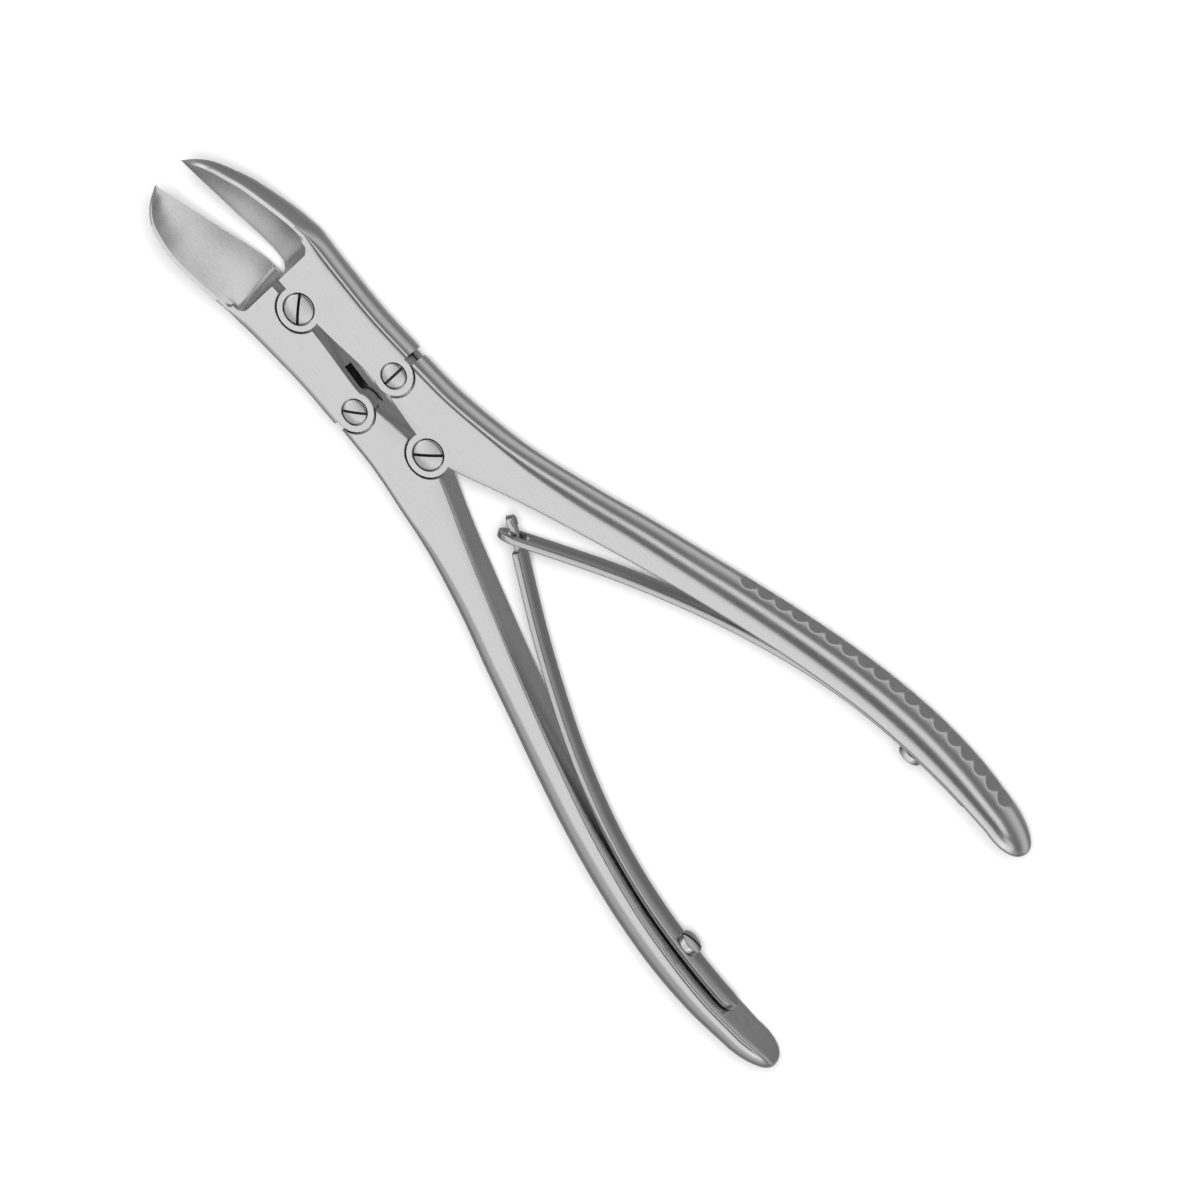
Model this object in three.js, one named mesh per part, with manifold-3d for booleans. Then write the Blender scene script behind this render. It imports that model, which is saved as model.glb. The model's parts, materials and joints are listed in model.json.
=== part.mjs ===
// Compound-lever cutting pliers with curved chisel blades and interlocking leaf springs.
// Millimetres. X runs along the centre line towards the blade tips, Y points to the left arm and Z up.
// Everything is built round the jaw pivot at mid-thickness; the exported group then moves it so that
// the origin is the bottom centre of the whole tool.
import * as THREE from "three";
import { mergeVertices } from "three/addons/utils/BufferGeometryUtils.js";
import Module from "manifold-3d";

// Driving dimensions
const TIP_X = 33.4; // blade tip, ahead of the jaw pivot
const HANDLE_END_X = -157.7;
const HANDLE_PIVOT_X = -34.7;
const LINK_X = -20.2; // the two link pivots, which join each jaw to its handle
const LINK_Y = 5.35;
const PLATE = 6.5; // thickness of the flat hub
const GRIP = 11.2; // greatest thickness of the handles
const LAP_GAP = 0.15; // half the play between the two leaves of a lap joint
const PLAY = 0.15; // radial play of a boss in its recess, on each side of the seam
const BOSS_R = 4.4; // seam circle round the jaw and handle pivots
const LINK_BOSS_R = 3.95; // seam circle round the link pivots
const TONGUE = 2.3; // thickness of the handle's tongue in the jaw's fork
const TONGUE_R = 3.3;
const FORK_FLOOR_X = -13; // where the fork's slot starts
const SHOULDER_X = 6.2; // where the hub steps down to the blade
const SHOULDER_RUN = 3.3;
const JAW_REAR_X = -19.3;
const HANDLE_FRONT_X = -21;
const GRIP_END_START_X = -150; // the rounded end of each handle begins here
const SCALLOP_PITCH = 3.42;
const SCALLOP_COUNT = 18;
const SCALLOP_START_X = -89.6;
const SCALLOP_R = 2.95;
const SCALLOP_DEPTH = 0.55;
const LEAF_T = 1.35; // spring leaf thickness
const LEAF_W = 4.8; // spring leaf height
const LEAF_END_X = -145.2;
const LEAF_CROSS_X = -56.1; // the leaves cross on the centre line here
const LEAF_SLOT = { from: -57.8, to: -54.45, width: 2.3 };
const LEAF_TIP_X = -53.1; // tip of the slotted leaf
const TONGUE_TIP_X = -52.3; // tip of the leaf that passes through the slot
const NECK = { from: -57.9, to: -54.1, width: 1.5, head: 2.5 };
const SPRING_SCREW_X = -131;
const CENTRE_LINE_Y = 1.56; // where the hub's centre line lies once the tool's box is centred
const SEGMENTS = 40;

// Smooth tracks along X, each a list of [x, value], from the rear to the front
const handleInner = track([
  [-150, 32.0],
  [-140, 32.2],
  [-130, 31.5],
  [-120, 30.1],
  [-110, 27.8],
  [-100, 25.0],
  [-80, 18.2],
  [-60, 10.4],
  [-50, 6.2],
  [-39.3, 1.4],
  [-36, 0.75],
  [-30.4, 0.8],
  [-21, 2.1],
]);
const handleFlat = track([
  [-150, 33.25],
  [-140, 33.5],
  [-130, 33.0],
  [-120, 31.7],
  [-110, 29.7],
  [-100, 27.25],
  [-90, 24.3],
  [-80, 21.25],
  [-70, 18.1],
  [-60, 14.75],
  [-50, 12.25],
  [-45, 11.5],
  [-40, 10.9],
  [-30, 9.4],
  [-21, 8.8],
]);
const handleOuter = track([
  [-150, 37.0],
  [-140, 37.9],
  [-130, 37.7],
  [-120, 36.45],
  [-110, 34.4],
  [-100, 31.75],
  [-90, 28.65],
  [-80, 25.3],
  [-70, 21.95],
  [-60, 18.35],
  [-50, 15.15],
  [-45, 13.8],
  [-40, 12.75],
  [-30, 11.1],
  [-21, 10.6],
]);
const handleThickness = track([
  [-150, 10.4],
  [-140, GRIP],
  [-120, 10.6],
  [-90, 9.1],
  [-60, 7.4],
  [-48, 6.65],
  [-44, PLATE],
  [-21, PLATE],
]);
const jawInner = track([
  [JAW_REAR_X, 2.0],
  [-17, 2.0],
  [-4.6, 0.8],
  [4.3, 0.8],
  [SHOULDER_X, 0.82],
  [10, 1.12],
  [TIP_X, 3.57],
]);
const jawOuter = track([
  [JAW_REAR_X, 10.7],
  [-10, 10.5],
  [0, 11.0],
  [6, 11.4],
  [10, 11.1],
  [15, 10.95],
  [22, 10.35],
  [26, 9.3],
  [28, 8.6],
  [30, 7.5],
  [32, 5.65],
  [TIP_X, 3.62],
]);
const plateFlat = track([
  [JAW_REAR_X, 8.8],
  [-10, 8.6],
  [0, 9.0],
  [8, 9.3],
]);
// Heights over the hub's top face
const ridgeHeight = track([
  [8, 0],
  [12, 1.0],
  [22, 4.0],
  [28, 5.0],
  [31, 4.4],
  [TIP_X, 2.65],
]);
const edgeHeight = track([
  [8, -PLATE],
  [10.5, -PLATE + 0.05],
  [12, -6.15],
  [16, -4.6],
  [20, -2.8],
  [24, -1.2],
  [30, 1.3],
  [TIP_X, 2.55],
]);
const leafMiddle = track([
  [LEAF_END_X, 31.25],
  [-140, 31.22],
  [-130, 30.52],
  [-120, 29.1],
  [-110, 26.75],
  [-100, 23.4],
  [-90, 19.2],
  [-80, 14.2],
  [-70, 8.6],
  [LEAF_CROSS_X, 0],
  [-51, -2.9],
]);
// How far the grips and the leaves stand off the hub's centre line, both to the same side
const lean = track([
  [-158, -1.75],
  [-140, -1.6],
  [-120, -1.35],
  [-100, -1.07],
  [-80, -0.9],
  [-60, -0.6],
  [-50, -0.3],
  [-40, 0],
  [-30, 0],
]);

const wasm = await Module();
wasm.setup();

// A cubic curve through the knots, as a function of x.
function track(knots) {
  const slope = (i) => {
    const [a, b] = [knots[Math.max(i - 1, 0)], knots[Math.min(i + 1, knots.length - 1)]];
    return (b[1] - a[1]) / (b[0] - a[0]);
  };
  return (x) => {
    const last = knots.length - 2;
    const i = THREE.MathUtils.clamp(knots.findIndex((k) => k[0] > x) - 1, 0, last);
    const at = x >= knots[last + 1][0] ? last : i;
    const [x0, y0] = knots[at];
    const [x1, y1] = knots[at + 1];
    const run = x1 - x0;
    const t = THREE.MathUtils.clamp((x - x0) / run, 0, 1);
    const [t2, t3] = [t * t, t * t * t];
    return (
      (2 * t3 - 3 * t2 + 1) * y0 +
      (t3 - 2 * t2 + t) * run * slope(at) +
      (3 * t2 - 2 * t3) * y1 +
      (t3 - t2) * run * slope(at + 1)
    );
  };
}

// Evenly spaced numbers from a to b, both included.
function steps(a, b, count) {
  return Array.from({ length: count + 1 }, (_, i) => a + ((b - a) * i) / count);
}

// A closed skin over rings of points, with a fan on each end.
function loft(rings) {
  const size = rings[0].length;
  const points = rings.flat();
  const index = [];
  for (let r = 0; r < rings.length - 1; r++) {
    for (let i = 0; i < size; i++) {
      const a = r * size + i;
      const b = r * size + ((i + 1) % size);
      index.push(a, b, b + size, a, b + size, a + size);
    }
  }
  const end = (ring, turned) => {
    const first = ring * size;
    const middle = points.length;
    const sum = rings[ring].reduce((total, p) => total.add(p), new THREE.Vector3());
    points.push(sum.divideScalar(size));
    for (let i = 0; i < size; i++) {
      const [a, b] = [first + i, first + ((i + 1) % size)];
      index.push(...(turned ? [middle, b, a] : [middle, a, b]));
    }
  };
  end(0, true);
  end(rings.length - 1, false);
  const geometry = new THREE.BufferGeometry().setFromPoints(points);
  geometry.setIndex(index);
  return geometry;
}

function solid(geometry) {
  const bare = geometry.clone();
  bare.deleteAttribute("normal");
  bare.deleteAttribute("uv");
  const merged = mergeVertices(bare, 1e-4);
  const made = new wasm.Manifold(
    new wasm.Mesh({
      numProp: 3,
      vertProperties: merged.attributes.position.array,
      triVerts: new Uint32Array(merged.index.array),
    }),
  );
  return made;
}

function disc(radius, x, y, low, high, segments = SEGMENTS) {
  const shape = new THREE.CylinderGeometry(radius, radius, high - low, segments);
  return solid(shape.rotateX(Math.PI / 2).translate(x, y, (low + high) / 2));
}

function block(x0, x1, y0, y1, z0, z1) {
  const shape = new THREE.BoxGeometry(x1 - x0, y1 - y0, z1 - z0);
  return solid(shape.translate((x0 + x1) / 2, (y0 + y1) / 2, (z0 + z1) / 2));
}

// The arms are built on the left side, Y positive. The right ones are turned over to the other side.
function armMesh(name, made, material, mirrored) {
  const mesh = meshOf(name, made, material, mirrored);
  const place = mesh.geometry.attributes.position;
  for (let i = 0; i < place.count; i++) place.setY(i, place.getY(i) + lean(place.getX(i)));
  mesh.geometry.computeVertexNormals();
  return mesh;
}

function meshOf(name, made, material, mirrored) {
  const { numProp, vertProperties, triVerts } = made.getMesh();
  const points = new Float32Array((vertProperties.length / numProp) * 3);
  for (let i = 0; i < points.length / 3; i++) {
    points.set(vertProperties.subarray(i * numProp, i * numProp + 3), i * 3);
  }
  const geometry = new THREE.BufferGeometry();
  geometry.setAttribute("position", new THREE.BufferAttribute(points, 3));
  geometry.setIndex(new THREE.BufferAttribute(new Uint32Array(triVerts), 1));
  if (mirrored) {
    geometry.scale(1, -1, 1);
    geometry.index.array.reverse();
  }
  const flat = geometry.toNonIndexed();
  flat.computeVertexNormals();
  const mesh = new THREE.Mesh(flat, material);
  mesh.name = name;
  return mesh;
}

// Section of an arm: flat inner face with a chamfer, flat top and bottom, rounded back.
function armRing(x, inner, flat, outer, half, chamfer) {
  const ring = [
    [inner, -half + chamfer],
    [inner, half - chamfer],
    [inner + chamfer, half],
  ];
  for (const angle of steps(Math.PI / 2, -Math.PI / 2, 10)) {
    ring.push([flat + (outer - flat) * Math.cos(angle), half * Math.sin(angle)]);
  }
  ring.push([inner + chamfer, -half]);
  return ring.map(([y, z]) => new THREE.Vector3(x, y, z));
}

function handleRing(x) {
  const half = handleThickness(x) / 2;
  const chamfer = THREE.MathUtils.mapLinear(x, HANDLE_FRONT_X, HANDLE_END_X, 0.3, 0.8);
  if (x >= GRIP_END_START_X) {
    return armRing(x, handleInner(x), handleFlat(x), handleOuter(x), half, chamfer);
  }
  const t = (GRIP_END_START_X - x) / (GRIP_END_START_X - HANDLE_END_X);
  const shrink = Math.max(Math.sqrt(1 - t * t), 0.12);
  const middle = 34.5 - 1.3 * t;
  const width = 2.5 * shrink;
  return armRing(
    x,
    middle - width,
    middle - width * 0.5,
    middle + width,
    half * shrink ** 0.8,
    chamfer * shrink,
  );
}

// One half of a lap joint: this arm keeps its boss in one leaf and clears the other leaf.
function lapped(arm, x, layer, radius, half) {
  const far = half + 3;
  const cleared =
    layer > 0
      ? disc(radius + PLAY, x, 0, -far, LAP_GAP)
      : disc(radius + PLAY, x, 0, -LAP_GAP, far);
  const boss =
    layer > 0
      ? disc(radius - PLAY, x, 0, LAP_GAP, half)
      : disc(radius - PLAY, x, 0, -half, -LAP_GAP);
  return arm.subtract(cleared).add(boss);
}

// Clearance for a screw: a through hole and, where the head sits, a counterbore.
function bored(arm, x, y, screw, withHead) {
  const through = disc(screw.shaft + 0.25, x, y, -10, 10);
  const cut = arm.subtract(through);
  return withHead ? cut.subtract(disc(screw.head + 0.25, x, y, screw.seat - 0.25, 10)) : cut;
}

const PIVOT_SCREW = { head: 2.85, shaft: 1.9, seat: 1.7, dome: 0.25, slot: 0.6 };
const LINK_SCREW = { head: 2.3, shaft: 1.35, seat: 2.3, dome: 0.2, slot: 0.5 };
const CHEESE_SCREW = { head: 2.35, shaft: 1.2, seat: 0, rise: 1.3, dome: 0.3, slot: 0.6 };

function handle(layer) {
  const stations = [
    ...steps(HANDLE_FRONT_X, GRIP_END_START_X, 36),
    ...[-152.4, -154.3, -155.7, -156.7, -157.3, HANDLE_END_X],
  ];
  const half = PLATE / 2;
  const clear = LINK_BOSS_R + PLAY;
  const tongue = TONGUE / 2;
  let arm = solid(loft(stations.map(handleRing)));
  for (const [low, high] of [[-10, -tongue], [tongue, 10]]) {
    arm = arm.subtract(disc(clear, LINK_X, LINK_Y, low, high));
  }
  arm = arm
    .add(disc(TONGUE_R, LINK_X, LINK_Y, -tongue, tongue))
    .add(block(-26, LINK_X, LINK_Y - 2.8, LINK_Y + TONGUE_R, -tongue, tongue));
  arm = lapped(arm, HANDLE_PIVOT_X, layer, BOSS_R, half);
  arm = bored(arm, HANDLE_PIVOT_X, 0, PIVOT_SCREW, layer > 0);
  arm = bored(arm, LINK_X, LINK_Y, LINK_SCREW, false);
  for (let i = 0; i < SCALLOP_COUNT; i++) {
    const x = SCALLOP_START_X - i * SCALLOP_PITCH;
    const slope = Math.atan(handleOuter(x + 0.5) - handleOuter(x - 0.5));
    const reach = SCALLOP_R - SCALLOP_DEPTH;
    const [cx, cy] = [x - reach * Math.sin(slope), handleOuter(x) + reach * Math.cos(slope)];
    arm = arm.subtract(disc(SCALLOP_R, cx, cy, -9, 9));
  }
  const { place, turn } = springScrewPlace();
  const hole = new THREE.CylinderGeometry(1.45, 1.45, 5.2, 24).rotateX(Math.PI / 2);
  hole.translate(0, 0, -2.6).applyQuaternion(turn).translate(place.x, place.y, place.z);
  return arm.subtract(solid(hole));
}

// Section of a jaw. Ahead of the shoulder its top sinks to the hollow-ground bevel of the blade.
function jawRing(x) {
  const half = PLATE / 2;
  const blade = Math.max(x, SHOULDER_X);
  const outer = jawOuter(x);
  const inner = jawInner(x);
  const ahead = THREE.MathUtils.smoothstep(x, 3, 12);
  const body = Math.min(1, (outer - inner) / 3);
  const flat = THREE.MathUtils.lerp(plateFlat(Math.min(x, 8)), outer - 0.12 * body, ahead);
  const ridge = half + (x > 8 ? ridgeHeight(x) : 0);
  const edge = x > 8 ? half + edgeHeight(x) : -half;
  const ring = [[inner, edge]];
  for (const share of [0.02, 0.2, 0.4, 0.6, 0.8, 1]) {
    const y = THREE.MathUtils.lerp(inner, flat - 0.7 * ahead * body, share);
    const hollow = 0.5 * Math.sin(Math.PI * share) * ((ridge - edge) / 8);
    const bevel = THREE.MathUtils.lerp(edge, ridge, share) - hollow;
    const corner = THREE.MathUtils.clamp((y - 7.2) / 2.2, 0, 1);
    const start = SHOULDER_X + 2.2 * (1 - Math.sqrt(1 - corner * corner));
    const t = THREE.MathUtils.clamp((blade - start) / SHOULDER_RUN, 0, 1);
    const keep = 1 - Math.sqrt(1 - (1 - t) * (1 - t));
    ring.push([y, THREE.MathUtils.lerp(bevel, ridge, keep)]);
  }
  const middle = (ridge + edge) / 2;
  for (const angle of steps(Math.PI / 2, -Math.PI / 2, 6)) {
    const side = Math.cos(angle) ** 0.6;
    const rise = ((ridge - edge) / 2) * Math.sin(angle);
    ring.push([flat + (outer - flat) * side, middle + rise]);
  }
  const under = Math.min(flat, outer - 1.1 * ahead * Math.min(1, (TIP_X - x) / 6));
  ring[ring.length - 1][0] = Math.max(under, inner + 0.02);
  return ring.map(([y, z]) => new THREE.Vector3(x, y, z));
}

function jaw(layer) {
  const shoulder = steps(0, 1, 6).map((t) => SHOULDER_X + 5.5 * t * t);
  const stations = [
    ...[JAW_REAR_X, -17, -13, -9, -4.6, 0, 4.3],
    ...shoulder,
    ...[13.5, 16, 19, 22, 24, 26, 27.5, 29, 30.2, 31.3, 32.2, 32.9, TIP_X],
  ];
  const half = PLATE / 2;
  const slot = TONGUE / 2 + 0.3;
  let arm = solid(loft(stations.map(jawRing).reverse()));
  for (const [low, high] of [[-half, -slot], [slot, half]]) {
    arm = arm.add(disc(LINK_BOSS_R - PLAY, LINK_X, LINK_Y, low, high));
  }
  arm = arm
    .subtract(block(JAW_REAR_X - 6, FORK_FLOOR_X, -2, LINK_Y + 2.6, -slot, slot))
    .subtract(disc(TONGUE_R + 0.35, LINK_X, LINK_Y, -slot, slot));
  arm = lapped(arm, 0, layer, BOSS_R, half);
  arm = bored(arm, 0, 0, PIVOT_SCREW, layer > 0);
  return bored(arm, LINK_X, LINK_Y, LINK_SCREW, true);
}

// Height of a leaf at x: rounded ends and, on the tongued leaf, a neck and a head.
function leafWidth(x, slotted) {
  const rear = THREE.MathUtils.clamp((x - LEAF_END_X) / (LEAF_W / 2), 0, 1);
  const rounded = (t) => Math.max(Math.sqrt(1 - (1 - t) * (1 - t)), 0.3);
  if (slotted) {
    const front = THREE.MathUtils.clamp((LEAF_TIP_X - x) / 1.6, 0, 1);
    return LEAF_W * rounded(rear) * rounded(front);
  }
  if (x < NECK.from) return LEAF_W * rounded(rear);
  if (x < NECK.to) return NECK.width;
  return NECK.head * rounded(THREE.MathUtils.clamp((TONGUE_TIP_X - x) / 1.2, 0, 1));
}

function leaf(slotted) {
  const body = [LEAF_END_X, -144.9, -144.3, -143.4, ...steps(-142.6, -62, 27), -60];
  const tip = slotted
    ? [-58, LEAF_CROSS_X, -54.7, -54, -53.4, LEAF_TIP_X]
    : [-58.2, NECK.from - 0.01, NECK.from, LEAF_CROSS_X, NECK.to - 0.01, NECK.to, -53, -52.6, TONGUE_TIP_X];
  const rings = [...body, ...tip].map((x) => {
    const slope = Math.atan((leafMiddle(x + 0.3) - leafMiddle(x - 0.3)) / 0.6);
    const half = leafWidth(x, slotted) / 2;
    const [t, c] = [LEAF_T / 2, 0.22];
    const corners = [
      [-t, -half + c],
      [-t, half - c],
      [-t + c, half],
      [t - c, half],
      [t, half - c],
      [t, -half + c],
      [t - c, -half],
      [-t + c, -half],
    ];
    return corners.map(
      ([n, z]) =>
        new THREE.Vector3(x - n * Math.sin(slope), leafMiddle(x) + n * Math.cos(slope), z),
    );
  });
  let made = solid(loft(rings.reverse()));
  if (slotted) {
    const { from, to, width } = LEAF_SLOT;
    made = made.subtract(block(from, to, -6, 6, -width / 2, width / 2));
  }
  const { place, turn } = springScrewPlace();
  const hole = new THREE.CylinderGeometry(1.45, 1.45, 8, 24).rotateX(Math.PI / 2);
  hole.applyQuaternion(turn).translate(place.x, place.y, place.z);
  return made.subtract(solid(hole));
}

// The spring screw's seat on the leaf, on the left side, and the turn that points its head inwards.
function springScrewPlace() {
  const x = SPRING_SCREW_X;
  const slope = Math.atan(leafMiddle(x + 0.5) - leafMiddle(x - 0.5));
  const inward = new THREE.Vector3(Math.sin(slope), -Math.cos(slope), 0);
  const place = new THREE.Vector3(x, leafMiddle(x), 0);
  place.addScaledVector(inward, LEAF_T / 2 + 0.15);
  const turn = new THREE.Quaternion().setFromUnitVectors(new THREE.Vector3(0, 0, 1), inward);
  return { place, turn };
}

// A slotted screw along Z: shaft from `bottom` up to the head's seat, head with a shallow dome.
function screw({ head, shaft, seat, dome, slot }, bottom, top, slotAngle) {
  const profile = [
    [0, bottom],
    [shaft - 0.2, bottom],
    [shaft, bottom + 0.2],
    [shaft, seat],
    [head, seat],
    [head, top - 0.1],
  ];
  for (const share of steps(0.96, 0, 4)) {
    profile.push([head * share, top + dome * (1 - share * share)]);
  }
  const points = profile.map(([r, z]) => new THREE.Vector2(r, z));
  const turned = new THREE.LatheGeometry(points, 32).rotateX(Math.PI / 2);
  const groove = new THREE.BoxGeometry(head * 2 + 1, slot, 2).translate(0, 0, top + 0.4);
  return solid(turned).subtract(solid(groove.rotateZ(slotAngle)));
}

function steel(color, roughness) {
  return new THREE.MeshStandardMaterial({ color, roughness, metalness: 1 });
}

const tool = new THREE.Group();
tool.name = "cutting_pliers";
const half = PLATE / 2;
for (const side of ["left", "right"]) {
  const right = side === "right";
  const layer = right ? 1 : -1;
  tool.add(
    armMesh(side + "_jaw", jaw(layer), steel(0xc9cbcc, 0.32), right),
    armMesh(side + "_handle", handle(layer), steel(0xc4c6c8, 0.35), right),
    armMesh(side + "_spring", leaf(right), steel(0x9ea1a4, 0.3), right),
  );
  const link = meshOf(
    side + "_link_screw",
    screw(LINK_SCREW, -half + 0.2, half, right ? Math.PI / 2 : 0.75),
    steel(0xd2d4d5, 0.22),
  );
  link.position.set(LINK_X, right ? -LINK_Y : LINK_Y, 0);
  tool.add(link);
  const cheese = meshOf(
    side + "_spring_screw",
    screw(CHEESE_SCREW, -4.4, CHEESE_SCREW.rise, 0.3),
    steel(0xb9bbbd, 0.28),
  );
  const { place, turn } = springScrewPlace();
  cheese.position.set(place.x, (right ? -place.y : place.y) + lean(place.x), 0);
  cheese.quaternion.set(right ? -turn.x : turn.x, turn.y, turn.z, turn.w);
  tool.add(cheese);
}
for (const [name, x, angle] of [
  ["jaw_pivot_screw", 0, 2.25],
  ["handle_pivot_screw", HANDLE_PIVOT_X, 0.86],
]) {
  const pivot = meshOf(name, screw(PIVOT_SCREW, -half + 0.2, half, angle), steel(0xd2d4d5, 0.22));
  pivot.position.x = x;
  tool.add(pivot);
}
tool.position.set(-(TIP_X + HANDLE_END_X) / 2, CENTRE_LINE_Y, GRIP / 2);

export default tool;
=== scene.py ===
"""Compound-lever cutting pliers in satin stainless steel: two curved chisel blades, two bowed handles
with filed grips, four slotted pivot screws and a pair of interlocking leaf springs.

Shapes are worked out in millimetres round the jaw pivot, as the CAD part is: X runs towards the blade
tips, Y to the left arm and Z up. Each arm is built on the left and turned over for the right."""

import json
import math

import bpy
import numpy as np
from mathutils import Matrix, Vector

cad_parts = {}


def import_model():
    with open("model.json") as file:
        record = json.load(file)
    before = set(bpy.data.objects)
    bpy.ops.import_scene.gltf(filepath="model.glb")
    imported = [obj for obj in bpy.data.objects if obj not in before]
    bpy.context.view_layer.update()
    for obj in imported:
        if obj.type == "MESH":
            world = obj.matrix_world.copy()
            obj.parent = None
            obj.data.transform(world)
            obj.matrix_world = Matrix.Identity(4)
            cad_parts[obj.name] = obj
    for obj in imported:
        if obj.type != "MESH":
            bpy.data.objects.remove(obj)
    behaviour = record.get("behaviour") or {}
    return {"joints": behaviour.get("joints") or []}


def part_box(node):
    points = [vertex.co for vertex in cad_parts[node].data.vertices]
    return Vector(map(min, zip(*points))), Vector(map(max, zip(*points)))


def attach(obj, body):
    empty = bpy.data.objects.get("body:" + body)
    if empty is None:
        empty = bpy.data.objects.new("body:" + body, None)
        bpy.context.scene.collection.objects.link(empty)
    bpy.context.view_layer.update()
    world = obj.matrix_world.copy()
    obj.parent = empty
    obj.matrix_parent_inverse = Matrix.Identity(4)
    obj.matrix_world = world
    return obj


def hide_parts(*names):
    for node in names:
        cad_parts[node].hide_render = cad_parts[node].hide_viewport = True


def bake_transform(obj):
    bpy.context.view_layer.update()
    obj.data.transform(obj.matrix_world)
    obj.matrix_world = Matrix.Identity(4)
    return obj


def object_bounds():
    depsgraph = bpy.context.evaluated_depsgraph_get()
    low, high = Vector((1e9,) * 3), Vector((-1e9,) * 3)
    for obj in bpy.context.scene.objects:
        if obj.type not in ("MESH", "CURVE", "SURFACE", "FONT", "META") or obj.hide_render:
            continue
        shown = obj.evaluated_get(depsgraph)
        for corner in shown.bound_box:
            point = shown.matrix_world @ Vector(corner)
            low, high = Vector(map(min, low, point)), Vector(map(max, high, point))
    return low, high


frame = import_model()
cad_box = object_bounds()

MM = 0.001
JOINTS = {j["name"]: Vector(j["pos_m"]) / MM for j in frame["joints"]}
ORIGIN = JOINTS["jaw_pivot"]
HANDLE_PIVOT_X = (JOINTS["handle_squeeze"] - ORIGIN).x
LINK = JOINTS["left_link"] - ORIGIN


def reach(node, end, axis):
    """How far a CAD node goes from the jaw pivot, in millimetres."""
    return (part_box(node)[end] / MM - ORIGIN)[axis]


TIP_X = reach("left_jaw", 1, 0)
HANDLE_END_X = reach("left_handle", 0, 0)
HALF = -reach("left_jaw", 0, 2)  # half the thickness of the flat hub
GRIP_HALF = reach("left_handle", 1, 2)
LEAF_END_X = reach("left_spring", 0, 0)
LEAF_W = reach("left_spring", 1, 2) * 2

LAP_GAP = 0.15
PLAY = 0.15
BOSS_R = 4.4
LINK_BOSS_R = 3.95
TONGUE_HALF = 1.15
TONGUE_R = 3.3
FORK_FLOOR_X = -13
SHOULDER_X = 6.2  # step down from the plate to the bevel
SHOULDER_RUN = 3.3
SHOULDER_CORNER_Y = 7.2  # from here outwards the step curves forward
SHOULDER_CORNER_R = 2.2
BACK_ROUNDS_X = (3, 12)  # between these the plate's edge turns into the blade's rounded back
BLADE_START_X = 8
HOLLOW = 1 / 16  # depth ground out of the bevel, as a share of the blade's height
JAW_REAR_X = -19.3
HANDLE_FRONT_X = -21
GRIP_END_START_X = -150
GRIP_END_Y = 34.5  # middle of the grip where its end starts to round off
GRIP_END_SHIFT = 1.3
GRIP_END_HALF = 2.5
THROUGH = 9  # half the height of a cutter that goes right through an arm
SPRING_HOLE_R = 1.45
SCALLOP_PITCH = 3.42
SCALLOP_COUNT = 18
SCALLOP_START_X = -89.6
SCALLOP_DEPTH = 0.55
LEAF_T = 1.35
LEAF_CROSS_X = -56.1
LEAF_TIP_X = -53.1
TONGUE_TIP_X = -52.3
TIP_ROUND = 3.2  # length of the slotted leaf's rounded tip
SLOT = {"start": -57.8, "end": -54.45, "width": 2.3}
NECK = {"start": -57.9, "end": -54.1, "width": 1.5, "head": 2.5, "round": 1.2}
SPRING_SCREW_X = -131
BREAK = 0.1  # width of the small chamfer that breaks each machined edge


# ---------------------------------------------------------------- outlines along X

def track(*knots):
    """A cubic curve through the knots, as a function of x."""
    xs, ys = np.array(knots, float).T
    slopes = np.gradient(ys, xs) if len(xs) > 2 else np.full(2, (ys[1] - ys[0]) / (xs[1] - xs[0]))
    slopes[1:-1] = (ys[2:] - ys[:-2]) / (xs[2:] - xs[:-2])

    def value(x):
        x = np.asarray(x, float)
        i = np.clip(np.searchsorted(xs, x, side="right") - 1, 0, len(xs) - 2)
        run = xs[i + 1] - xs[i]
        t = np.clip((x - xs[i]) / run, 0, 1)
        return (
            (2 * t**3 - 3 * t**2 + 1) * ys[i]
            + (t**3 - 2 * t**2 + t) * run * slopes[i]
            + (3 * t**2 - 2 * t**3) * ys[i + 1]
            + (t**3 - t**2) * run * slopes[i + 1]
        )

    return value


handle_inner = track(
    (-150, 32.0), (-140, 32.2), (-130, 31.5), (-120, 30.1), (-110, 27.8), (-100, 25.0),
    (-80, 18.2), (-60, 10.4), (-50, 6.2), (-39.3, 1.4), (-36, 0.75), (-30.4, 0.8), (-21, 2.1),
)
handle_flat = track(
    (-150, 33.25), (-140, 33.5), (-130, 33.0), (-120, 31.7), (-110, 29.7), (-100, 27.25), (-90, 24.3),
    (-80, 21.25), (-70, 18.1), (-60, 14.75), (-50, 12.25), (-45, 11.5), (-40, 10.9), (-30, 9.4), (-21, 8.8),
)
handle_outer = track(
    (-150, 37.0), (-140, 37.9), (-130, 37.7), (-120, 36.45), (-110, 34.4), (-100, 31.75), (-90, 28.65),
    (-80, 25.3), (-70, 21.95), (-60, 18.35), (-50, 15.15), (-45, 13.8), (-40, 12.75), (-30, 11.1),
    (-21, 10.6),
)
handle_half = track(
    (-150, 5.2), (-140, GRIP_HALF), (-120, 5.3), (-90, 4.55), (-60, 3.7), (-48, 3.325),
    (-44, HALF), (-21, HALF),
)
jaw_inner = track(
    (JAW_REAR_X, 2.0), (-17, 2.0), (-4.6, 0.8), (4.3, 0.8), (SHOULDER_X, 0.82), (10, 1.12), (TIP_X, 3.57),
)
jaw_outer = track(
    (JAW_REAR_X, 10.7), (-10, 10.5), (0, 11.0), (6, 11.4), (10, 11.1), (15, 10.95), (22, 10.35), (26, 9.3),
    (28, 8.6), (30, 7.5), (32, 5.65), (TIP_X, 3.62),
)
plate_flat = track((JAW_REAR_X, 8.8), (-10, 8.6), (0, 9.0), (BLADE_START_X, 9.3))
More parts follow.
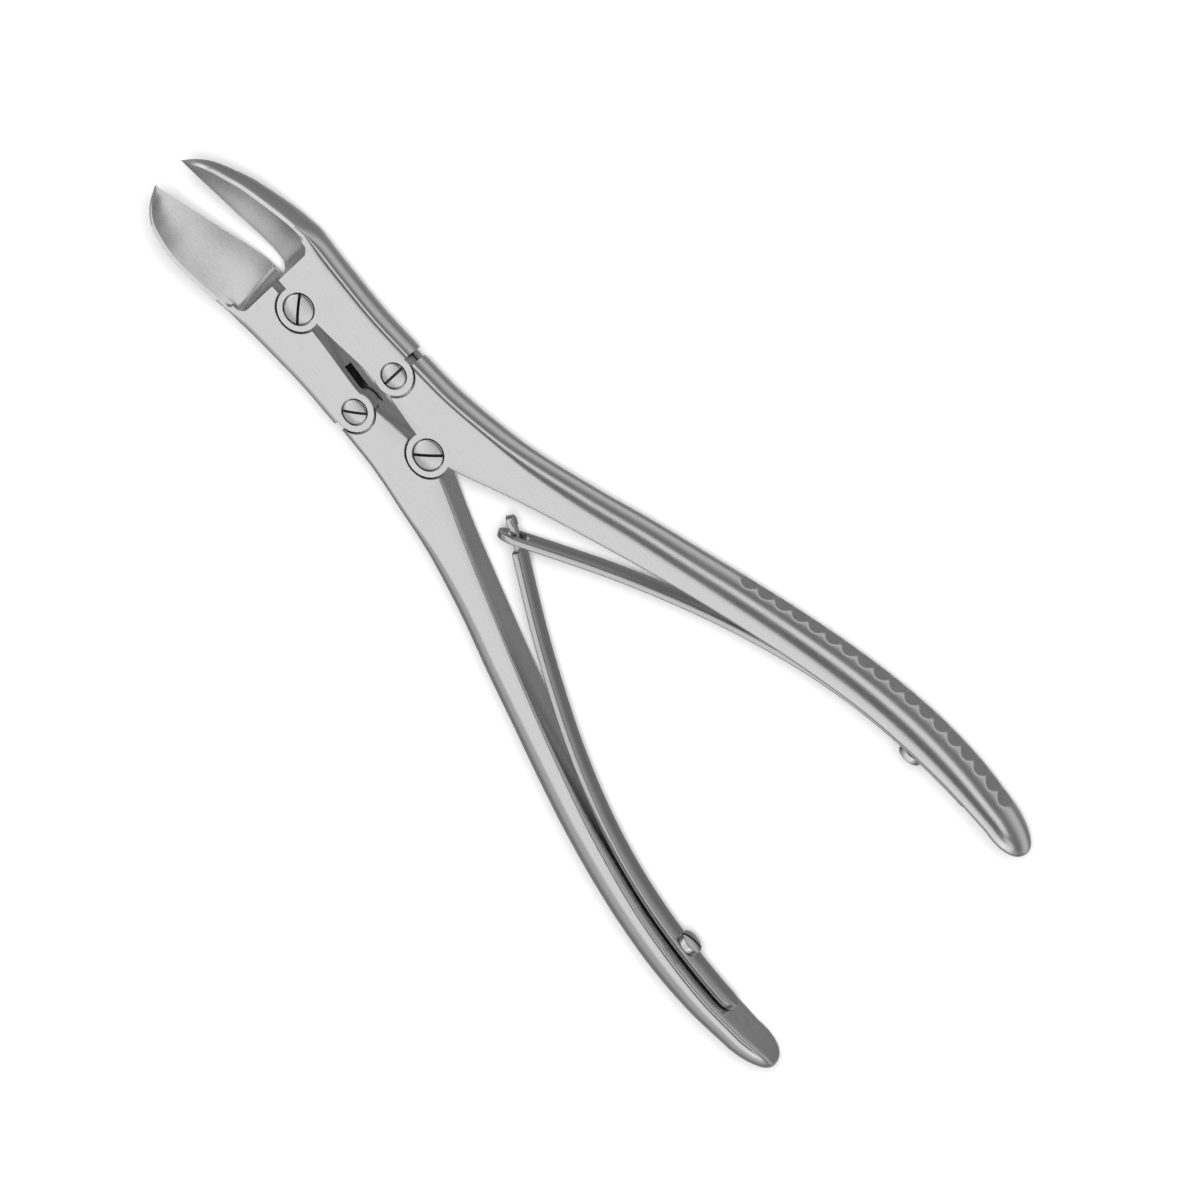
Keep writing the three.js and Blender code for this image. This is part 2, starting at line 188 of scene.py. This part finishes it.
ridge_height = track((BLADE_START_X, 0), (12, 1.0), (22, 4.0), (28, 5.0), (31, 4.4), (TIP_X, 2.65))
edge_height = track(
    (BLADE_START_X, -6.5), (10.5, -6.45), (12, -6.15), (16, -4.6), (20, -2.8), (24, -1.2), (30, 1.3),
    (TIP_X, 2.55),
)
leaf_middle = track(
    (LEAF_END_X, 31.25), (-140, 31.22), (-130, 30.52), (-120, 29.1), (-110, 26.75), (-100, 23.4),
    (-90, 19.2), (-80, 14.2), (-70, 8.6), (LEAF_CROSS_X, 0), (-51, -2.9),
)
lean = track(
    (-158, -1.75), (-140, -1.6), (-120, -1.35), (-100, -1.07), (-80, -0.9), (-60, -0.6), (-50, -0.3),
    (-40, 0), (-30, 0),
)


def slope_at(curve, x, step=0.5):
    return math.atan2(float(curve(x + step) - curve(x - step)), 2 * step)


# ---------------------------------------------------------------- mesh helpers

def mesh_object(name, points, faces):
    mesh = bpy.data.meshes.new(name)
    mesh.from_pydata([tuple(p) for p in points], [], faces)
    made = bpy.data.objects.new(name, mesh)
    bpy.context.scene.collection.objects.link(made)
    return made


def loft(name, rings):
    """A closed skin over rings of points, rings first, then points round each ring."""
    count, size, _ = rings.shape
    faces = [
        (
            r * size + i,
            r * size + (i + 1) % size,
            (r + 1) * size + (i + 1) % size,
            (r + 1) * size + i,
        )
        for r in range(count - 1)
        for i in range(size)
    ]
    faces.append(tuple(reversed(range(size))))
    faces.append(tuple((count - 1) * size + i for i in range(size)))
    return mesh_object(name, rings.reshape(-1, 3), faces)


def rings_at(xs, columns):
    """Upright rings at each x from (y, z) columns, each column one line of points along the arm."""
    ys = np.stack([y for y, _ in columns], axis=1)
    zs = np.stack([z for _, z in columns], axis=1)
    return np.stack([np.broadcast_to(xs[:, None], ys.shape), ys, zs], axis=2)


def turned(name, profile, segments=96):
    """A solid turned about Z from (radius, height) pairs that start and end on the axis."""
    inner = profile[1:-1]
    angles = np.linspace(0, 2 * math.pi, segments, endpoint=False)
    points = [(r * math.cos(a), r * math.sin(a), z) for r, z in inner for a in angles]
    low, high = len(points), len(points) + 1
    points += [(0, 0, profile[0][1]), (0, 0, profile[-1][1])]
    faces = []
    for i in range(segments):
        j = (i + 1) % segments
        for row in range(len(inner) - 1):
            a, b = row * segments, (row + 1) * segments
            faces.append((a + i, a + j, b + j, b + i))
        faces.append((low, j, i))
        top = (len(inner) - 1) * segments
        faces.append((high, top + i, top + j))
    return mesh_object(name, points, faces)


def rod(radius, low, high, segments=96):
    return turned("rod", [(0, low), (radius, low), (radius, high), (0, high)], segments)


def block(x0, x1, y0, y1, z0, z1):
    points = [(x, y, z) for x in (x0, x1) for y in (y0, y1) for z in (z0, z1)]
    faces = [(0, 1, 3, 2), (4, 6, 7, 5), (0, 4, 5, 1), (2, 3, 7, 6), (0, 2, 6, 4), (1, 5, 7, 3)]
    return mesh_object("cutter", points, faces)


def joined(body, tool, operation):
    """The body with the tool cut away (DIFFERENCE) or added (UNION); the tool is used up."""
    modifier = body.modifiers.new("boolean", "BOOLEAN")
    modifier.operation = operation
    modifier.solver = "MANIFOLD"
    modifier.object = tool
    bpy.context.view_layer.update()
    result = bpy.data.meshes.new_from_object(body.evaluated_get(bpy.context.evaluated_depsgraph_get()))
    body.modifiers.clear()
    old, body.data = body.data, result
    bpy.data.meshes.remove(old)
    cutter = tool.data
    bpy.data.objects.remove(tool)
    bpy.data.meshes.remove(cutter)
    return body


def cut(body, tool):
    return joined(body, tool, "DIFFERENCE")


def added(body, tool):
    return joined(body, tool, "UNION")


def moved(piece, x=0.0, y=0.0, z=0.0):
    piece.data.transform(Matrix.Translation((x, y, z)))
    return piece


def boss(radius, low, high, upward):
    """A disc whose visible rim has a broken edge."""
    if upward:
        rim = [(radius, low), (radius, high - BREAK), (radius - BREAK, high)]
    else:
        rim = [(radius - BREAK, low), (radius, low + BREAK), (radius, high)]
    return turned("boss", [(0, low), *rim, (0, high)])


def recess(radius, depth_z, upward):
    """Cutter for a round recess that opens upwards or downwards, with a broken rim."""
    sign = 1 if upward else -1
    heights = [depth_z, depth_z, sign * (HALF - BREAK), sign * (HALF + 0.5), sign * (HALF + 0.5)]
    radii = [0, radius, radius, radius + BREAK + 0.5, 0]
    pairs = list(zip(radii, heights))
    return turned("recess", pairs if upward else pairs[::-1])


def leaned(mesh):
    """Both grips sit a little to the right of the hub's centre line, more so towards their ends."""
    points = np.empty(len(mesh.vertices) * 3)
    mesh.vertices.foreach_get("co", points)
    points = points.reshape(-1, 3)
    points[:, 1] += lean(points[:, 0])
    mesh.vertices.foreach_set("co", points.ravel())
    mesh.update()


def finished(piece, node, body, material, right=False, sharp=30):
    """Turns the piece over if it is a right one, puts it in the row frame, gives it its material, hides its
    CAD node and hangs it on its body's empty if it has one.
    """
    if right:
        piece.data.transform(Matrix.Scale(-1, 4, (0, 1, 0)))
        piece.data.flip_normals()
    leaned(piece.data)
    piece.data.transform(Matrix.Scale(MM, 4) @ Matrix.Translation(ORIGIN))
    piece.name = piece.data.name = node + "_steel"
    for polygon in piece.data.polygons:
        polygon.use_smooth = True
    piece.data.set_sharp_from_angle(angle=math.radians(sharp))
    in_slot = [polygon.material_index for polygon in piece.data.polygons]
    piece.data.materials.clear()
    piece.data.materials.append(material)
    # Faces marked in a screw slot keep a second material that paints the slot's shade, with a little dirt.
    if any(in_slot):
        piece.data.materials.append(slot_shade_and_dirt)
        piece.data.polygons.foreach_set("material_index", in_slot)
    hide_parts(node)
    if body:
        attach(piece, body)
    return piece


# ---------------------------------------------------------------- handles

def handle_rings(xs):
    """Rings of the handle: inner face, chamfer, flat top, rounded and scalloped back, and back again."""
    end = np.clip((GRIP_END_START_X - xs) / (GRIP_END_START_X - HANDLE_END_X), 0, 1)
    shrink = np.sqrt(np.maximum(1 - end**2, 0.0004))
    core = np.maximum(xs, GRIP_END_START_X)
    middle = GRIP_END_Y - GRIP_END_SHIFT * end
    spread = GRIP_END_HALF * shrink
    inner = np.where(end > 0, middle - spread, handle_inner(core))
    flat = np.where(end > 0, middle - spread / 2, handle_flat(core))
    outer = np.where(end > 0, middle + spread, handle_outer(core))
    half = handle_half(core) * shrink**0.8
    chamfer = np.interp(-xs, [-HANDLE_FRONT_X, 60, 150], [0.25, 0.4, 0.75]) * shrink

    columns = []
    for share in np.linspace(-1, 1, 7):
        columns.append((inner, share * (half - chamfer)))
    for angle in np.radians([22, 45, 68]):
        columns.append((inner + chamfer * (1 - math.cos(angle)), half - chamfer * (1 - math.sin(angle))))
    for share in (0.0, 0.35, 0.7, 0.9):
        columns.append((inner + chamfer + (flat - inner - chamfer) * share, half))
    limit = scallop_limit(xs, outer)
    for angle in np.linspace(math.pi / 2, -math.pi / 2, 41):
        back = flat + (outer - flat) * math.cos(angle)
        columns.append((np.minimum(back, np.maximum(limit, flat)), half * math.sin(angle)))
    for share in (0.9, 0.7, 0.35, 0.0):
        columns.append((inner + chamfer + (flat - inner - chamfer) * share, -half))
    for angle in np.radians([68, 45, 22]):
        columns.append((inner + chamfer * (1 - math.cos(angle)), -half + chamfer * (1 - math.sin(angle))))
    return rings_at(xs, columns)


def scallop_limit(xs, outer):
    """How far out the back may stand: filed flutes, pitch by pitch, along the grip."""
    first = SCALLOP_START_X + SCALLOP_PITCH / 2
    number = (first - xs) / SCALLOP_PITCH
    inside = (number > 0) & (number < SCALLOP_COUNT)
    off = (number - np.floor(number) - 0.5) * 2
    return np.where(inside, outer - SCALLOP_DEPTH * (1 - off**2), outer + 1)


def handle(side, material):
    right = side == "right"
    start = SCALLOP_START_X + SCALLOP_PITCH / 2
    stop = start - SCALLOP_PITCH * SCALLOP_COUNT
    end = np.linspace(0, math.pi / 2, 22)
    xs = np.concatenate([
        np.arange(HANDLE_FRONT_X, start, -1.0),
        np.linspace(start, stop, SCALLOP_COUNT * 14 + 1),
        GRIP_END_START_X - (GRIP_END_START_X - HANDLE_END_X) * np.sin(end[:-1]),
        [HANDLE_END_X],
    ])
    xs = np.unique(np.round(xs, 4))
    xs = xs[np.concatenate([[True], np.diff(xs) > 0.01])]
    arm = loft("handle", handle_rings(xs))
    for low, high in ((-THROUGH, -TONGUE_HALF), (TONGUE_HALF, THROUGH)):
        cut(arm, moved(rod(LINK_BOSS_R + PLAY, low, high), *LINK.xy))
    for upward in (True, False):
        cut(arm, moved(recess(LINK_BOSS_R + PLAY, TONGUE_HALF if upward else -TONGUE_HALF, upward), *LINK.xy))
    added(arm, moved(rod(TONGUE_R, -TONGUE_HALF, TONGUE_HALF), *LINK.xy))
    added(arm, block(-26, LINK.x, LINK.y - 2.8, LINK.y + TONGUE_R, -TONGUE_HALF, TONGUE_HALF))
    lap(arm, HANDLE_PIVOT_X, right)
    bore(arm, HANDLE_PIVOT_X, 0, PIVOT_SCREW, head=right)
    bore(arm, LINK.x, LINK.y, LINK_SCREW, head=False)
    cut(arm, spring_hole(-5.2, 0))
    return finished(arm, side + "_handle", side + "_handle", material, right)


# ---------------------------------------------------------------- joints between the arms

PIVOT_SCREW = {"head": 2.85, "shaft": 1.9, "seat": 1.7, "dome": 0.28, "slot": 0.55, "depth": 0.9}
LINK_SCREW = {"head": 2.3, "shaft": 1.35, "seat": 2.3, "dome": 0.24, "slot": 0.5, "depth": 0.6}
CHEESE_SCREW = {"head": 2.35, "shaft": 1.2, "seat": 0.0, "dome": 0.3, "slot": 0.6, "depth": 0.75}


def lap(arm, x, on_top):
    """One half of a lap joint: the arm clears the other leaf and keeps its round boss in its own."""
    radius = BOSS_R + PLAY
    far = HALF + 2
    clear = rod(radius, -far, LAP_GAP) if on_top else rod(radius, -LAP_GAP, far)
    cut(arm, moved(clear, x))
    cut(arm, moved(recess(radius, LAP_GAP if not on_top else -LAP_GAP, not on_top), x))
    low, high = (LAP_GAP, HALF) if on_top else (-HALF, -LAP_GAP)
    added(arm, moved(boss(BOSS_R - PLAY, low, high, on_top), x))


def bore(arm, x, y, screw, head):
    cut(arm, moved(rod(screw["shaft"] + 0.25, -THROUGH, THROUGH, 64), x, y))
    if head:
        cut(arm, moved(recess(screw["head"] + 0.2, screw["seat"] - 0.25, True), x, y))


def screw(name, size, bottom, top, angle):
    """A slotted screw along Z with a shallow dome, a rounded rim and a sunk slot."""
    head, shaft, seat = size["head"], size["shaft"], size["seat"]
    profile = [(0, bottom), (shaft - 0.2, bottom), (shaft, bottom + 0.2), (shaft, seat), (head, seat)]
    rim = 0.22
    for turn in np.radians([0, 25, 50, 75]):
        profile.append((head - rim + rim * math.cos(turn), top - rim + rim * math.sin(turn)))
    for share in np.linspace(0.9, 0.1, 9):
        profile.append(((head - rim) * share, top + size["dome"] * (1 - share**2)))
    profile.append((0, top + size["dome"]))
    made = turned(name, profile)
    wall = size["slot"] / 2
    groove = block(-head - 1, head + 1, -wall, wall, top - size["depth"] + 0.2, top + 2)
    groove.data.transform(Matrix.Rotation(angle, 4, "Z"))
    cut(made, groove)
    across = Vector((-math.sin(angle), math.cos(angle), 0))
    # Faces at the bottom and sides of the slot get material 1, the painted slot shade with a little dirt.
    for polygon in made.data.polygons:
        middle = polygon.center
        sunk = top - size["depth"] < middle.z and abs(middle.dot(across)) < wall + 0.001
        polygon.material_index = int(sunk and middle.xy.length < head)
    return made


# ---------------------------------------------------------------- jaws

def jaw_rings(xs):
    """Rings of a jaw: cutting edge, bevel or flat top, ridge, rounded back and underside."""
    start, stop = BACK_ROUNDS_X
    ahead = np.clip((xs - start) / (stop - start), 0, 1)
    ahead = ahead * ahead * (3 - 2 * ahead)
    inner, outer = jaw_inner(xs), jaw_outer(xs)
    body = np.minimum(1, (outer - inner) / 3)
    flat = plate_flat(np.minimum(xs, BLADE_START_X)) * (1 - ahead) + (outer - 0.12 * body) * ahead
    blade = xs > BLADE_START_X
    ridge = HALF + np.where(blade, ridge_height(xs), 0)
    edge = np.where(blade, HALF + edge_height(xs), -HALF)
    columns = [(inner, edge)]
    for share in np.concatenate([[0.012, 0.05], np.linspace(0.1, 1, 28)]):
        y = inner + (flat - 0.7 * ahead * body - inner) * share
        hollow = HOLLOW * math.sin(math.pi * share) * (ridge - edge)
        bevel = edge + (ridge - edge) * share - hollow
        corner = np.clip((y - SHOULDER_CORNER_Y) / SHOULDER_CORNER_R, 0, 1)
        step = SHOULDER_X + SHOULDER_CORNER_R * (1 - np.sqrt(1 - corner**2))
        t = np.clip((xs - step) / SHOULDER_RUN, 0, 1)
        keep = 1 - np.sqrt(1 - (1 - t) ** 2)
        columns.append((y, bevel * (1 - keep) + ridge * keep))
    middle = (ridge + edge) / 2
    taper = ahead * np.clip((TIP_X - xs) / 6, 0, 1)
    under = np.maximum(np.minimum(flat, outer - 1.1 * taper), inner + 0.02)
    for angle in np.linspace(math.pi / 2, -math.pi / 2, 25):
        side = math.cos(angle) ** 0.6
        root = flat if angle > 0 else under
        columns.append((root + (outer - root) * side, middle + (ridge - edge) / 2 * math.sin(angle)))
    for share in (0.25, 0.5, 0.75):
        columns.append((under + (inner - under) * share, edge))
    return rings_at(xs, columns)


def jaw(side, material):
    right = side == "right"
    slot = TONGUE_HALF + 0.3
    tip = TIP_X - 6 * (1 - np.sin(np.linspace(0, math.pi / 2, 26)))
    xs = np.concatenate([
        np.arange(JAW_REAR_X, 4.3, 1.0),
        [4.3],
        np.arange(5.0, SHOULDER_X, 0.3),
        np.arange(SHOULDER_X, 13, 0.14),
        np.arange(13.2, TIP_X - 6, 0.5),
        tip,
    ])
    arm = loft("jaw", jaw_rings(xs)[::-1])
    for upward in (True, False):
        low, high = (slot, HALF) if upward else (-HALF, -slot)
        added(arm, moved(boss(LINK_BOSS_R - PLAY, low, high, upward), *LINK.xy))
    cut(arm, block(JAW_REAR_X - 6, FORK_FLOOR_X, -2, LINK.y + 2.6, -slot, slot))
    cut(arm, moved(rod(TONGUE_R + 0.35, -slot, slot), *LINK.xy))
    lap(arm, 0, right)
    bore(arm, 0, 0, PIVOT_SCREW, head=right)
    bore(arm, LINK.x, LINK.y, LINK_SCREW, head=True)
    return finished(arm, side + "_jaw", side + "_jaw", material, right)


# ---------------------------------------------------------------- leaf springs

def round_off(share):
    """Share of the full width at a share of the way along a rounded end."""
    return np.sqrt(np.maximum(1 - (1 - np.clip(share, 0, 1)) ** 2, 0.01))


def leaf_width(xs, slotted):
    """Height of a leaf: rounded ends and, on the tongued leaf, shoulders, a neck and a head."""
    rear = round_off((xs - LEAF_END_X) / (LEAF_W / 2))
    if slotted:
        return LEAF_W * rear * round_off((LEAF_TIP_X - xs) / TIP_ROUND)
    head = NECK["head"] * round_off((TONGUE_TIP_X - xs) / NECK["round"])
    shoulder = LEAF_W * rear * round_off((NECK["start"] - xs) / 0.7 + 0.25)
    return np.where(xs < NECK["start"], shoulder, np.where(xs < NECK["end"], NECK["width"], head))


def leaf(side, material):
    slotted = side == "right"
    tip = LEAF_TIP_X if slotted else TONGUE_TIP_X
    quarter = np.linspace(0, math.pi / 2, 12)
    rear = LEAF_END_X + LEAF_W / 2 * (1 - np.cos(quarter))
    front = tip - TIP_ROUND * (1 - np.sin(quarter))
    steps = [rear, np.arange(-142, tip - TIP_ROUND - 0.3, 0.8), front]
    if not slotted:
        for x in (NECK["start"], NECK["end"]):
            steps.append([x - 0.6, x - 0.4, x - 0.2, x - 0.08, x - 0.005, x + 0.005])
    xs = np.unique(np.round(np.concatenate(steps), 4))
    half = leaf_width(xs, slotted) / 2
    slope = np.arctan((leaf_middle(xs + 0.3) - leaf_middle(xs - 0.3)) / 0.6)
    t = LEAF_T / 2
    edge = 0.3
    columns = []
    for sy, sz, turn in ((-1, 1, math.pi), (1, 1, math.pi / 2), (1, -1, 0), (-1, -1, -math.pi / 2)):
        for a in np.linspace(turn, turn - math.pi / 2, 5):
            n = sy * (t - edge) + edge * math.cos(a)
            z = sz * np.maximum(half - edge, 0.02) + edge * math.sin(a) * np.minimum(1, half / edge)
            columns.append((n, z))
    ys = np.stack([leaf_middle(xs) + n * np.cos(slope) for n, _ in columns], axis=1)
    px = np.stack([xs - n * np.sin(slope) for n, _ in columns], axis=1)
    zs = np.stack([z for _, z in columns], axis=1)
    made = loft("leaf", np.stack([px, ys, zs], axis=2)[::-1])
    if slotted:
        wall = SLOT["width"] / 2
        cut(made, block(SLOT["start"], SLOT["end"], -6, 6, -wall, wall))
    cut(made, spring_hole(-4, 4))
    piece = finished(made, side + "_spring", None, material, slotted, sharp=50)
    bend_leaf(piece, side)
    return piece


def bend_leaf(piece, side):
    """Works out two points along the leaf's middle line, which are not used, and bakes the leaf's transform
    into its mesh.
    """
    sign = -1 if side == "right" else 1

    def place(x):
        return (Vector((x, sign * float(leaf_middle(x)) + float(lean(x)), 0)) + ORIGIN) * MM

    place(-116)
    place(-68)
    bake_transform(piece)


def spring_screw_place():
    """Matrix that stands a screw on the leaf's centre-facing side, its head pointing inwards."""
    slope = slope_at(leaf_middle, SPRING_SCREW_X)
    inward = Vector((math.sin(slope), -math.cos(slope), 0))
    seat = Vector((SPRING_SCREW_X, float(leaf_middle(SPRING_SCREW_X)), 0)) + inward * (LEAF_T / 2 + 0.1)
    turn = Vector((0, 0, 1)).rotation_difference(inward).to_matrix().to_4x4()
    return Matrix.Translation(seat) @ turn


def spring_hole(low, high):
    """Cutter for the spring screw's hole, between two heights along the screw."""
    hole = rod(SPRING_HOLE_R, low, high, 32)
    hole.data.transform(spring_screw_place())
    return hole


# ---------------------------------------------------------------- materials

GRAIN_DEPTH = 0.000004  # metres


def new_material(name):
    """A material with its node tree, its links, its shader and its object coordinates."""
    material = bpy.data.materials.new(name)
    material.use_nodes = True
    nodes, links = material.node_tree.nodes, material.node_tree.links
    place = nodes.new("ShaderNodeTexCoord").outputs["Object"]
    return material, nodes, links, nodes["Principled BSDF"], place


def noise(nodes, links, place, scale, detail=2.0):
    made = nodes.new("ShaderNodeTexNoise")
    made.inputs["Scale"].default_value = scale
    made.inputs["Detail"].default_value = detail
    links.new(place, made.inputs["Vector"])
    return made.outputs["Fac"]


def spread_over(nodes, links, value, taken, given):
    """The value, with the range that is taken in spread over the range that is given out."""
    made = nodes.new("ShaderNodeMapRange")
    made.inputs["From Min"].default_value, made.inputs["From Max"].default_value = taken
    made.inputs["To Min"].default_value, made.inputs["To Max"].default_value = given
    links.new(value, made.inputs["Value"])
    return made.outputs["Result"]


def grey_ramp(nodes, links, value, stops):
    """Grey levels over a value from 0 to 1, from (place, level) pairs."""
    made = nodes.new("ShaderNodeValToRGB")
    points = made.color_ramp.elements
    while len(points) < len(stops):
        points.new(0.5)
    for point, (at, level) in zip(points, stops):
        point.position = at
        point.color = (level, level, level, 1)
    links.new(value, made.inputs["Fac"])
    return made.outputs["Color"]


def steel(name, grey, rough, grain=(170, 2600, 2600), mottle=0.02):
    """Satin stainless steel: fine grinding lines along the arm, faint mottling and uneven polish."""
    material, nodes, links, shader, place = new_material(name)
    shader.inputs["Metallic"].default_value = 1.0
    stretch = nodes.new("ShaderNodeMapping")
    stretch.inputs["Scale"].default_value = grain
    links.new(place, stretch.inputs["Vector"])
    lines = noise(nodes, links, stretch.outputs["Vector"], 1.0, 3.0)
    cloud = noise(nodes, links, place, 140.0, 4.0)

    shade = nodes.new("ShaderNodeMix")
    shade.data_type = "RGBA"
    shade.blend_type = "MULTIPLY"
    shade.inputs["Factor"].default_value = 1.0
    shade.inputs["A"].default_value = (grey, grey, grey, 1)
    tint = spread_over(nodes, links, cloud, (0.25, 0.75), (1.0 - mottle, 1.0))
    links.new(tint, shade.inputs["B"])
    links.new(shade.outputs["Result"], shader.inputs["Base Color"])

    polish = nodes.new("ShaderNodeMath")
    polish.operation = "ADD"
    links.new(cloud, polish.inputs[0])
    links.new(lines, polish.inputs[1])
    uneven = spread_over(nodes, links, polish.outputs["Value"], (0.6, 1.4), (rough * 0.88, rough * 1.12))
    links.new(uneven, shader.inputs["Roughness"])

    bump = nodes.new("ShaderNodeBump")
    bump.inputs["Strength"].default_value = 0.35
    bump.inputs["Distance"].default_value = GRAIN_DEPTH
    links.new(lines, bump.inputs["Height"])
    links.new(bump.outputs["Normal"], shader.inputs["Normal"])
    return material


def slot_shade_material():
    """Painted shade for the bottom of a screw slot, with a little dirt: near black, mottled and dull."""
    material, nodes, links, shader, place = new_material("slot_painted_shade_and_dirt")
    shader.inputs["Metallic"].default_value = 0.6
    shader.inputs["Roughness"].default_value = 0.6
    spots = noise(nodes, links, place, 2200.0)
    tone = nodes.new("ShaderNodeValToRGB")
    tone.color_ramp.elements[0].color = (0.015, 0.014, 0.013, 1)
    tone.color_ramp.elements[1].color = (0.07, 0.068, 0.065, 1)
    links.new(spots, tone.inputs["Fac"])
    links.new(tone.outputs["Color"], shader.inputs["Base Color"])
    return material


# Near-black material that paints the shade in the screw slots, with a little dirt.
slot_shade_and_dirt = slot_shade_material()
jaw_steel = steel("jaw_satin_steel", 0.70, 0.27)
handle_steel = steel("handle_satin_steel", 0.70, 0.27)
spring_steel = steel("spring_steel", 0.58, 0.24)
screw_steel = steel("screw_polished_steel", 0.66, 0.25, grain=(900, 900, 900))

# ---------------------------------------------------------------- the tool

def link_screw(side, slot_angle):
    """The small screw between a jaw and its handle; it turns with the jaw."""
    y = LINK.y if side == "left" else -LINK.y
    made = moved(screw("link", LINK_SCREW, -HALF + 0.2, HALF, math.radians(slot_angle)), LINK.x, y)
    finished(made, side + "_link_screw", side + "_jaw", screw_steel)


def spring_screw(side):
    made = screw("cheese", CHEESE_SCREW, -4.4, 1.3, 0.3)
    made.data.transform(spring_screw_place())
    finished(made, side + "_spring_screw", side + "_handle", screw_steel, side == "right")


def pivot_screw(node, body, x, slot_angle):
    made = moved(screw("pivot", PIVOT_SCREW, -HALF + 0.2, HALF, math.radians(slot_angle)), x)
    finished(made, node, body, screw_steel)


for side, slot_angle in (("left", 43), ("right", 90)):
    jaw(side, jaw_steel)
    handle(side, handle_steel)
    leaf(side, spring_steel)
    link_screw(side, slot_angle)
    spring_screw(side)
pivot_screw("jaw_pivot_screw", "left_jaw", 0, 129.4)
pivot_screw("handle_pivot_screw", "left_handle", HANDLE_PIVOT_X, 49)

# ---------------------------------------------------------------- floor, light and camera

FRAME_WIDTH = 0.2131  # metres across the picture, in the plane of the hub's top
TARGET = (ORIGIN + Vector((-74.3, -6.44, HALF))) * MM
ELEVATION = 62.6  # degrees above the hub's face
TIPS_TURN = math.radians(131.65)  # where +X points in the picture, anticlockwise from the right
LENS = 250


def floor():
    size = 3.0
    low = cad_box[0].z
    points = [(-size, -size, low), (size, -size, low), (size, size, low), (-size, size, low)]
    ground = mesh_object("floor", points, [(0, 1, 2, 3)])
    material = bpy.data.materials.new("pale_floor")
    material.use_nodes = True
    shader = material.node_tree.nodes["Principled BSDF"]
    shader.inputs["Base Color"].default_value = (0.92, 0.92, 0.92, 1)
    shader.inputs["Roughness"].default_value = 0.9
    shader.inputs["Specular IOR Level"].default_value = 0.0
    ground.data.materials.append(material)
    ground.visible_glossy = False


def softbox(name, azimuth, elevation, size, brightness, distance=1.5):
    """A rectangular area light that faces the tool; azimuth 0 stands behind the camera."""
    data = bpy.data.lights.new(name, "AREA")
    data.shape = "RECTANGLE"
    data.size, data.size_y = size
    data.energy = brightness * math.pi * size[0] * size[1]
    lamp = bpy.data.objects.new(name, data)
    bpy.context.scene.collection.objects.link(lamp)
    a, e = math.radians(azimuth), math.radians(elevation)
    away = Vector((math.sin(a) * math.cos(e), -math.cos(a) * math.cos(e), math.sin(e)))
    lamp.location = away * distance
    lamp.rotation_euler = away.to_track_quat("Z", "Y").to_euler()
    return lamp


def world():
    """A plain studio room: lighter behind the tool, darker at the horizon, over a pale floor."""
    made = bpy.data.worlds.new("studio")
    bpy.context.scene.world = made
    made.use_nodes = True
    nodes, links = made.node_tree.nodes, made.node_tree.links
    split = nodes.new("ShaderNodeSeparateXYZ")
    links.new(nodes.new("ShaderNodeTexCoord").outputs["Generated"], split.inputs["Vector"])
    height = spread_over(nodes, links, split.outputs["Z"], (-1.0, 1.0), (0.0, 1.0))
    front = [
        (-1.0, 0.4), (-0.93, 0.22), (-0.88, 0.1), (-0.83, 0.24), (-0.74, 0.6), (-0.55, 0.66), (-0.38, 0.52),
        (-0.1, 0.22), (0.12, 0.18), (0.5, 0.2), (0.8, 0.15), (1.0, 0.12),
    ]
    back = [
        (-1.0, 0.4), (-0.9, 0.36), (-0.7, 0.3), (-0.38, 0.22), (-0.1, 0.2), (0.08, 0.34), (0.3, 0.48),
        (0.7, 0.48), (0.9, 0.28), (1.0, 0.12),
    ]
    room = nodes.new("ShaderNodeMix")
    room.data_type = "RGBA"
    for side, walls in (("A", front), ("B", back)):
        stops = [((z + 1) / 2, level) for z, level in walls]
        links.new(grey_ramp(nodes, links, height, stops), room.inputs[side])
    behind = spread_over(nodes, links, split.outputs["Y"], (-0.15, 0.25), (0.0, 1.0))
    links.new(behind, room.inputs["Factor"])
    links.new(room.outputs["Result"], nodes["Background"].inputs["Color"])


def camera():
    data = bpy.data.cameras.new("camera")
    data.lens = LENS
    data.sensor_width = 36
    eye = bpy.data.objects.new("camera", data)
    bpy.context.scene.collection.objects.link(eye)
    across = Vector((1, 0, 0))
    elevation = math.radians(ELEVATION)
    upward = Vector((0, math.sin(elevation), math.cos(elevation)))
    back = across.cross(upward)
    c, s = math.cos(TIPS_TURN), math.sin(TIPS_TURN)
    right = across * c - upward * s
    top = across * s + upward * c
    turn = Matrix((right, top, back)).transposed().to_4x4()
    distance = FRAME_WIDTH * LENS / data.sensor_width
    eye.matrix_world = Matrix.Translation(TARGET + back * distance) @ turn
    data.clip_start, data.clip_end = 0.05, 20
    bpy.context.scene.camera = eye


floor()
world()
softbox("key", 180, 67.5, (2.4, 1.0), 0.66).visible_diffuse = False
softbox("fill", 0, 38, (2.0, 0.72), 0.8).visible_diffuse = False
for number, azimuth in enumerate((90, 270)):
    softbox(f"side_{number}", azimuth, 40, (1.6, 0.7), 0.6).visible_diffuse = False
softbox("floor_light", 0, ELEVATION, (1.0, 1.0), 15, distance=2.0).visible_glossy = False
camera()
bpy.context.scene.view_settings.view_transform = "Standard"
